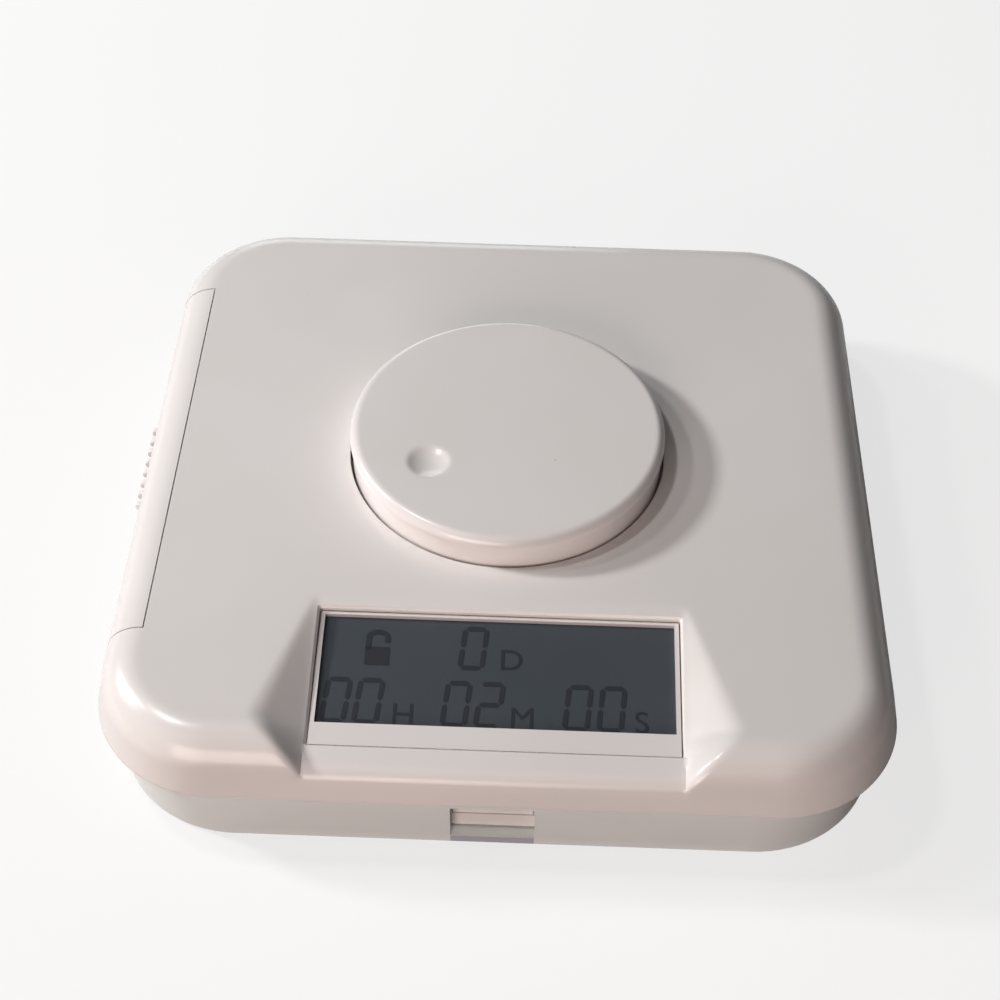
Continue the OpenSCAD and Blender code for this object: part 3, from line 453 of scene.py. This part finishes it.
def recessHeight(x, forward, t):
    # the slope's floor, and from its sides a cheek that rises straight to its outer edge
    t = min(t, lid["recessWall"])
    floor = lipHeight(forward)
    run = max(cheekOuter(forward) - lid["recessHalf"], lid["cheekLeast"])
    rise = min(max(frontHeight(forward) - floor, 0) / run, lid["cheekSteepest"])
    cheek = floor + rise * (abs(x) - lid["recessHalf"]) - t * math.sqrt(1 + rise ** 2)
    return -smoothMin(t / math.cos(fall) - floor, -cheek, lid["valley"])


def rollWidth(forward, height):
    # how far the deck rolls over into the recess: wider towards the front, and fading at the lid's lower edge
    (_, top), (_, mouth) = lid["cheekEdge"][:2]
    along = (forward - top) / (mouth - top)
    along = min(max(along, 0), lid["rollPast"])
    start, end = lid["rollFade"]
    fade = (height - lidLow - start) / (end - start)
    growth = 1 + lid["rollGrowth"] * max(along - 1, 0)  # wider where the cheek is steep
    width = lid["rollTop"] + along * (lid["rollMouth"] - lid["rollTop"])
    return width * growth * min(max(fade, lid["rollLeast"]), 1)


def lidProfile(t):
    # from a corner's axis out over the deck, round the fillet and down the side, as (distance, height)
    run = flatHalf - cornerAxis
    r = lid["fillet"] - t
    middle = deck - lid["fillet"]
    steps = [(run * i / lid["flatSteps"], deck - t) for i in range(lid["flatSteps"] + 1)]
    for i in range(1, lid["arcSteps"] + 1):
        a = math.pi / 2 - (math.pi / 2 - lean) * i / lid["arcSteps"]
        steps.append((run + r * math.cos(a), middle + r * math.sin(a)))
    edge = 0 if t else lid["lowEdge"]
    out, start = steps[-1]
    for i in range(1, lid["sideSteps"] + 1):
        z = start + (lidLow + edge - start) * i / lid["sideSteps"]
        steps.append((out + (start - z) * math.tan(lean), z))
    if edge:
        steps.append((steps[-1][0] - edge * lid["lowBevel"], lidLow + edge * lid["lowBevel"]))
        steps.append((steps[-1][0] - edge, lidLow))
        steps.append(lidProfile(lid["wall"])[-1])  # in to the inner skin's lower edge
    return steps


def spread(*stops):
    # places from the first stop to the last; each stop gives the step up to the next one
    places = []
    for (start, step), (end, _) in zip(stops, stops[1:]):
        count = max(round((end - start) / step), 1)
        places += [start + (end - start) * i / count for i in range(count)]
    return places + [stops[-1][0]]


def lidSkin(t):
    # one skin of the lid, t mm inside its face
    foot, cheekEnd = lid["recessHalf"], lid["gridCheekEnd"]
    coarse, fine, middle = lid["gridCoarse"], lid["gridFine"], lid["gridMiddle"]
    across = spread((-cornerAxis, coarse), (-cheekEnd, fine), (-foot, fine), (1 - foot, middle), (foot - 1, fine),
                    (foot, fine), (cheekEnd, coarse), (cornerAxis, 0))
    along = spread((-cornerAxis, lid["gridSlope"]), (-lid["gridSlopeEnd"], middle), (cornerAxis, 0))
    profile = lidProfile(t)
    bpy.ops.mesh.primitive_grid_add(x_subdivisions=len(across) - 1, y_subdivisions=len(along) - 1, size=2)
    skin = bpy.context.object
    for v in skin.data.vertices:
        i = round((v.co.x + 1) / 2 * (len(across) - 1))
        j = round((v.co.y + 1) / 2 * (len(along) - 1))
        v.co = Vector((across[i], along[j], profile[0][1])) * mm
    editing(True)
    bpy.ops.mesh.select_mode(type="EDGE")
    near = 0.001
    for side in range(4):
        out = Vector((round(math.cos(side * math.pi / 2)), round(math.sin(side * math.pi / 2)), 0))
        left = Vector((-out.y, out.x, 0))
        chooseEdges(lambda p: abs(p.dot(out) - cornerAxis) < near and abs(p.dot(left)) < cornerAxis + near)
        for before, after in zip(profile, profile[1:]):
            step = (out * (after[0] - before[0]) + Vector((0, 0, after[1] - before[1]))) * mm
            bpy.ops.mesh.extrude_edges_move(TRANSFORM_OT_translate={"value": step})
        chooseEdges(lambda p: abs(p.dot(left) - cornerAxis) < near and p.dot(out) > cornerAxis - near)
        bpy.ops.mesh.spin(steps=lid["cornerSteps"], angle=-math.pi / 2, axis=(0, 0, 1),
                          center=(out + left) * cornerAxis * mm)
    editing(False)
    cleanMesh(skin)
    for v in skin.data.vertices:
        x, y, z = v.co / mm
        if -y > lid["slopeTop"] - lid["slopeMargin"]:
            v.co.z = smoothMin(z, recessHeight(x, -y, t), rollWidth(-y, z)) * mm
    return skin


def lidShell():
    outer = lidSkin(0)
    inner = lidSkin(lid["wall"])
    selectOnly(outer)
    inner.select_set(True)
    bpy.ops.object.join()
    cleanMesh(outer)
    return own(outer, "lidShell", absWhite)


def flared(outline, depth, rim):
    # an opening's cutter: the outline drawn down by depth, and widened by rim at the surface
    selectOnly(outline)
    editing(True)
    bpy.ops.mesh.select_mode(type="FACE")
    bpy.ops.mesh.select_all(action="SELECT")
    bpy.ops.transform.translate(value=(0, 0, -depth * mm))
    bpy.ops.mesh.extrude_region_move(TRANSFORM_OT_translate={"value": (0, 0, (depth - rim) * mm)})
    bpy.ops.mesh.extrude_region_move(TRANSFORM_OT_translate={"value": (0, 0, rim * mm)})
    size = outline.dimensions
    grow = [(s + 2 * rim * mm) / s for s in (size.x, size.y)]
    bpy.ops.transform.resize(value=(grow[0], grow[1], 1))
    bpy.ops.mesh.extrude_region_move(TRANSFORM_OT_translate={"value": (0, 0, lid["windowRise"] * mm)})
    editing(False)
    cleanMesh(outline)
    return outline


slopeFrame = Matrix.Translation((0, -lid["slopeTop"] * mm, deck * mm)) @ Matrix.Rotation(fall, 4, "X")


def windowCutter():
    bpy.ops.mesh.primitive_plane_add(size=1)
    outline = bpy.context.object
    outline.data.transform(Matrix.Diagonal((lid["windowW"] * mm, lid["windowL"] * mm, 1, 1)))
    editing(True)
    bpy.ops.mesh.select_mode(type="VERT")
    bpy.ops.mesh.select_all(action="SELECT")
    bpy.ops.mesh.bevel(offset=lid["windowCornerR"] * mm, segments=lid["windowCornerSteps"], affect="VERTICES")
    editing(False)
    flared(outline, lid["wall"] + lid["windowDeep"], lid["windowRim"])
    start = (lid["windowTop"] - lid["slopeTop"]) / math.cos(fall)
    outline.data.transform(slopeFrame @ Matrix.Translation((0, -(start + lid["windowL"] / 2) * mm, 0)))
    return outline


def addCup(shell):
    # the knob's well starts as a solid cup under the deck
    outer, low, high = lid["wellR"] + lid["wellWall"], lid["wellFloor"] - lid["wellFloorT"], deck - lid["sunk"]
    carve(shell, spun([(0, low), (outer, low), (outer, high), (0, high)], lid["cupSteps"], (0, knobY)), "UNION")


def addPosts(shell):
    # the four posts that take the cover's screws
    r, low, high = lid["postR"], lid["postLow"], deck - lid["sunk"]
    for x in (-lid["postAt"][0], lid["postAt"][0]):
        for y in (-lid["postAt"][1], lid["postAt"][1]):
            carve(shell, spun([(0, low), (r, low), (r, high), (0, high)], lid["postSteps"], (x, y)), "UNION")


def hollowWell(shell):
    # the well, cut from above with a rounded edge, and the shaft's hole in its floor
    well, floor, rim, bow = lid["wellR"], lid["wellFloor"], lid["rim"], lid["rimBow"]
    above = deck + lid["over"]
    carve(shell, spun([(0, floor), (well, floor), (well, deck - rim), (well + rim * bow[0], deck - rim * bow[1]),
                       (well + rim, deck), (well + rim, above), (0, above)], lid["wellSteps"], (0, knobY)))
    hole = lid["wellHoleR"]
    low, high = lid["wellHoleCut"]
    carve(shell, spun([(0, low), (hole, low), (hole, high), (0, high)], lid["wellHoleSteps"], (0, knobY)))


def cutDoorway(shell):
    low, high = lid["doorY"] - lid["doorL"] / 2, lid["doorY"] + lid["doorL"] / 2
    carve(shell, block((lid["doorOut"], low, lidLow - lid["doorUnder"]), (-flatHalf, high, deck + lid["over"])))
    half = lid["tongueW"] / 2
    for y in (lid["doorY"] - lid["tongueY"], lid["doorY"] + lid["tongueY"]):
        carve(shell, block((-flatHalf - lid["tongueOut"], y - half, lid["tongueZ"][0]),
                           (-flatHalf + lid["tongueL"], y + half, lid["tongueZ"][1])))


shell = lidShell()
addCup(shell)
addPosts(shell)
hollowWell(shell)
carve(shell, windowCutter())
cutDoorway(shell)
cleanMesh(shell)
smoothByAngle(shell, lid["smoothTo"])
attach(shell, "lid")
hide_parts("top_cover")
print("lid shell:", len(shell.data.polygons), "faces")

# The knob's cap, with its finger dimple pressed in softly
cap = {
    "edgeR": 1.9, "edgeSteps": 10, "lowEdge": 0.2, "seatGap": 0.2, "spigotIn": 2.35,
    "rings": 40, "innerR": 12.5, "steps": 224, "smoothTo": 40,
    "dimpleAt": (-15.3, -10.9), "dimpleD": 8.4, "dimpleDeep": 1.1, "dimpleSoft": 0.22, "dimpleReach": 0.9,
}


def knobCap():
    low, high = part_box("knob_cap")
    radius = (high.x - low.x) / 2 / mm
    top, bottom = high.z / mm, low.z / mm
    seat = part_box("knob_skirt")[1].z / mm + cap["seatGap"]  # the thin line between cap and skirt
    r = cap["edgeR"]
    profile = [(0, bottom), (radius - cap["spigotIn"], bottom), (radius - cap["spigotIn"], seat),
               (radius - cap["lowEdge"], seat), (radius, seat + cap["lowEdge"])]
    for i in range(cap["edgeSteps"] + 1):
        a = math.pi / 2 * i / cap["edgeSteps"]
        profile.append((radius - r + r * math.cos(a), top - r + r * math.sin(a)))
    flat = radius - r
    for i in range(1, cap["rings"] + 1):
        profile.append((flat + (cap["innerR"] - flat) * i / cap["rings"], top))
    profile.append((cap["innerR"] / 2, top))
    profile.append((0, top))
    piece = spun(profile, cap["steps"], (0, knobY))
    ball = ((cap["dimpleD"] / 2) ** 2 + cap["dimpleDeep"] ** 2) / 2 / cap["dimpleDeep"]  # its radius
    flatFrom = top - 0.01
    centre = Vector((cap["dimpleAt"][0], knobY + cap["dimpleAt"][1]))
    for v in piece.data.vertices:
        away = ((v.co / mm).xy - centre).length
        if v.co.z / mm > flatFrom and away < ball * cap["dimpleReach"]:
            bowl = top - cap["dimpleDeep"] + ball - math.sqrt(ball ** 2 - away ** 2)
            v.co.z = smoothMin(top, bowl, cap["dimpleSoft"]) * mm
    smoothByAngle(piece, cap["smoothTo"])
    return own(piece, "knobCap", absWhite)


knob = knobCap()
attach(knob, "knob")
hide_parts("knob_cap")
print("knob cap:", len(knob.data.polygons), "faces")

# What the display shows: plain digits, an open padlock and one letter for each unit of time.
# Places are in mm from the upper left corner of the visible glass.
display = {
    "width": 65.7, "top": 0.8, "depth": 2.6, "lift": 0.05, "thick": 0.03, "from": 39.3, "fall": 7,
    "digitW": 5.0, "bar": 0.95, "gap": 0.14, "slant": 0.09,
    "topRow": (1.3, 9.4), "lowRow": (13.1, 9.7),
    "digits": [(25.3, "topRow", 0), (0.5, "lowRow", 0), (6.5, "lowRow", 0), (22.6, "lowRow", 0),
               (28.7, "lowRow", 2), (44.9, "lowRow", 0), (51.1, "lowRow", 0)],
    "letters": [(32.9, 10.4, "D"), (13.6, 22.6, "H"), (35.2, 22.6, "M"), (58.0, 22.6, "S")],
    "letterH": 4.4, "capitalShare": 0.7,  # a capital's height as a share of the type's size
    "lock": (8.0, 2.6), "lockW": 4.6, "lockBodyH": 3.9, "lockH": 7.7, "lockBar": 1.05,
    "lockBow": 0.75, "lockFoot": 0.5, "lockLeg": 0.36, "lockSteps": 12,
}
litBars = {0: "abcdef", 2: "abged"}


def flatPiece(outline):
    # a thin slip with this outline, in mm on the display, laid just over the glass
    bpy.ops.mesh.primitive_circle_add(vertices=len(outline), radius=mm, fill_type="NGON")
    piece = bpy.context.object
    for v, (u, down) in zip(piece.data.vertices, outline):
        v.co = (u * mm, -down * mm, 0)
    editing(True)
    bpy.ops.mesh.select_all(action="SELECT")
    bpy.ops.mesh.extrude_region_move(TRANSFORM_OT_translate={"value": (0, 0, display["thick"] * mm)})
    editing(False)
    cleanMesh(piece)
    return piece


def bar(start, end):
    # a segment with pointed ends, from start to end along its middle
    half = display["bar"] / 2
    along = (Vector(end) - Vector(start)).normalized()
    side = Vector((-along.y, along.x))
    a, b = Vector(start) + along * display["gap"], Vector(end) - along * display["gap"]
    return [a, a + (along + side) * half, b + (side - along) * half, b,
            b - (along + side) * half, a + (along - side) * half]


def digit(u, row, number):
    top, height = display[row]
    w, half = display["digitW"] - display["bar"], display["bar"] / 2
    top, height = top + half, height - display["bar"]
    rows = (top, top + height / 2, top + height)
    ends = {
        "a": ((0, rows[0]), (w, rows[0])), "b": ((w, rows[0]), (w, rows[1])), "c": ((w, rows[1]), (w, rows[2])),
        "d": ((0, rows[2]), (w, rows[2])), "e": ((0, rows[1]), (0, rows[2])), "f": ((0, rows[0]), (0, rows[1])),
        "g": ((0, rows[1]), (w, rows[1])),
    }
    pieces = []
    for key in litBars[number]:
        outline = [(u + half + p.x + display["slant"] * (rows[2] - p.y), p.y) for p in bar(*ends[key])]
        pieces.append(flatPiece(outline))
    return pieces


def padlock():
    # an open padlock: a plain body and a bow whose right leg stands free
    u, v = display["lock"]
    w, h, b, body = display["lockW"], display["lockH"], display["lockBar"], display["lockBodyH"]
    seat = v + h - body
    r = w / 2
    rise = r * display["lockBow"]
    foot, leg = seat + display["lockFoot"], v + h * display["lockLeg"]
    arc = [math.pi * i / display["lockSteps"] for i in range(display["lockSteps"] + 1)]
    outer = [(u + r - r * math.cos(a), v + rise - rise * math.sin(a)) for a in arc]
    inner = [(u + r + (r - b) * math.cos(a), v + rise - (rise - b) * math.sin(a)) for a in arc]
    bow = [(u, foot)] + outer + [(u + w, leg), (u + w - b, leg)] + inner + [(u + b, foot)]
    return [flatPiece(bow), flatPiece([(u, seat), (u + w, seat), (u + w, v + h), (u, v + h)])]


def letter(u, base, text):
    # a flat capital that stands on the line at base
    bpy.ops.object.text_add(location=(0, 0, 0))
    words = bpy.context.object
    words.data.body = text
    words.data.size = display["letterH"] / display["capitalShare"] * mm
    words.data.extrude = display["thick"] / 2 * mm
    bpy.ops.object.convert(target="MESH")
    piece = bpy.context.object
    piece.data.transform(Matrix.Translation((u * mm, -base * mm, display["thick"] / 2 * mm)))
    return piece


def displayMarks():
    pieces = padlock()
    for u, row, number in display["digits"]:
        pieces += digit(u, row, number)
    for u, base, text in display["letters"]:
        pieces.append(letter(u, base, text))
    bpy.ops.object.select_all(action="DESELECT")
    for piece in pieces:
        piece.select_set(True)
    bpy.context.view_layer.objects.active = pieces[0]
    bpy.ops.object.join()
    marks = bpy.context.object
    corner = Matrix.Translation((-display["width"] / 2 * mm, -display["top"] * mm,
                                 (display["lift"] - display["depth"]) * mm))
    hinge = Matrix.Translation((0, -display["from"] * mm, deck * mm))
    tilt = Matrix.Rotation(math.radians(display["fall"]), 4, "X")
    marks.data.transform(hinge @ tilt @ corner)
    return own(marks, "displayMarks", ink)


marks = displayMarks()
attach(marks, "lid")
print("display marks:", len(marks.data.polygons), "faces")

# Floor, light and camera. The glow and a world of full strength are only for rays that come from the camera.
studio = {
    "floor": "#F4F3F2", "floorBounce": "#565150", "floorGlow": 0.72, "floorSize": 6,
    "world": "#F2F4F8", "worldStrength": 0.03, "worldGloss": 0.15, "aimHeight": 0.02,
    "cameraAt": (4.14, -259.85, 296.09), "cameraTurn": (42.938, -0.740, 1.973),
    "focal": 66.4, "sensor": 36, "clipStart": 0.01,
}
# each lamp: degrees above the floor, degrees round from the right, distance and size in m, power in W, colour
lamps = {
    "keyHigh": (64, 168, 1.1, 0.10, 2.3, "#FFFFFF"),
    "keyMiddle": (45, 168, 1.1, 0.10, 1.5, "#FFFFFF"),
    "keyLow": (30, 168, 1.1, 0.12, 7.6, "#FFFFFF"),
    "frontGlow": (12, 252, 1.2, 0.8, 10.6, "#FFEBE5"),
    "backGlow": (10, 98, 1.3, 0.5, 1.6, "#FFFFFF"),
}


def seenDirectly(tree, rays):
    # 1 for rays from the camera, also after they went through something clear
    return addNode(tree, "ShaderNodeMath", {"operation": "MAXIMUM"},
                   {0: rays.outputs["Is Camera Ray"], 1: rays.outputs["Is Transmission Ray"]}).outputs[0]


def studioFloor():
    # pale paper that glows a little for the camera, and gives less light back to the object than it shows
    bpy.ops.mesh.primitive_plane_add(size=studio["floorSize"], location=(0, 0, 0))
    floor = bpy.context.object
    material, tree = startMaterial("paperFloor")
    rays = addNode(tree, "ShaderNodeLightPath", {})
    share = addNode(tree, "ShaderNodeMath", {"operation": "MULTIPLY", 1: studio["floorGlow"]},
                    {0: seenDirectly(tree, rays)})
    tone = blendOf(tree, rays.outputs["Is Diffuse Ray"], studio["floor"], studio["floorBounce"])
    paper = addNode(tree, "ShaderNodeBsdfDiffuse", {}, {"Color": tone})
    glow = addNode(tree, "ShaderNodeEmission", {"Color": (1, 1, 1, 1), "Strength": 1})
    mix = addNode(tree, "ShaderNodeMixShader", {},
                  {0: share.outputs[0], 1: paper.outputs[0], 2: glow.outputs[0]})
    finishMaterial(tree, mix)
    own(floor, "floor", material)


def addLamp(name, height, around, distance, size, power, tint):
    data = bpy.data.lights.new(name, "AREA")
    data.size = size
    data.energy = power
    data.color = toLinear(tint)[:3]
    lamp = bpy.data.objects.new(name, data)
    up, turn = math.radians(height), math.radians(around)
    out = Vector((math.cos(up) * math.cos(turn), math.cos(up) * math.sin(turn), math.sin(up)))
    lamp.location = out * distance + Vector((0, 0, studio["aimHeight"]))
    lamp.rotation_euler = out.to_track_quat("Z", "Y").to_euler()
    bpy.context.scene.collection.objects.link(lamp)


def studioWorld():
    world = bpy.data.worlds.new("studio")
    bpy.context.scene.world = world
    world.use_nodes = True
    tree = world.node_tree
    sky = tree.nodes["Background"]
    sky.inputs["Color"].default_value = toLinear(studio["world"])
    rays = addNode(tree, "ShaderNodeLightPath", {})
    faint = ramp(tree, rays.outputs["Is Glossy Ray"], 0, 1, studio["worldStrength"], studio["worldGloss"])
    strength = addNode(tree, "ShaderNodeMath", {"operation": "MAXIMUM"}, {0: seenDirectly(tree, rays), 1: faint})
    tree.links.new(strength.outputs[0], sky.inputs["Strength"])


def studioCamera():
    data = bpy.data.cameras.new("camera")
    data.lens = studio["focal"]
    data.sensor_width = studio["sensor"]
    data.sensor_fit = "HORIZONTAL"
    data.clip_start = studio["clipStart"]
    camera = bpy.data.objects.new("camera", data)
    camera.location = Vector(studio["cameraAt"]) * mm
    camera.rotation_euler = [math.radians(a) for a in studio["cameraTurn"]]
    bpy.context.scene.collection.objects.link(camera)
    bpy.context.scene.camera = camera


studioFloor()
for name, values in lamps.items():
    addLamp(name, *values)
studioWorld()
studioCamera()
bpy.context.scene.view_settings.view_transform = "Standard"
print("studio set")
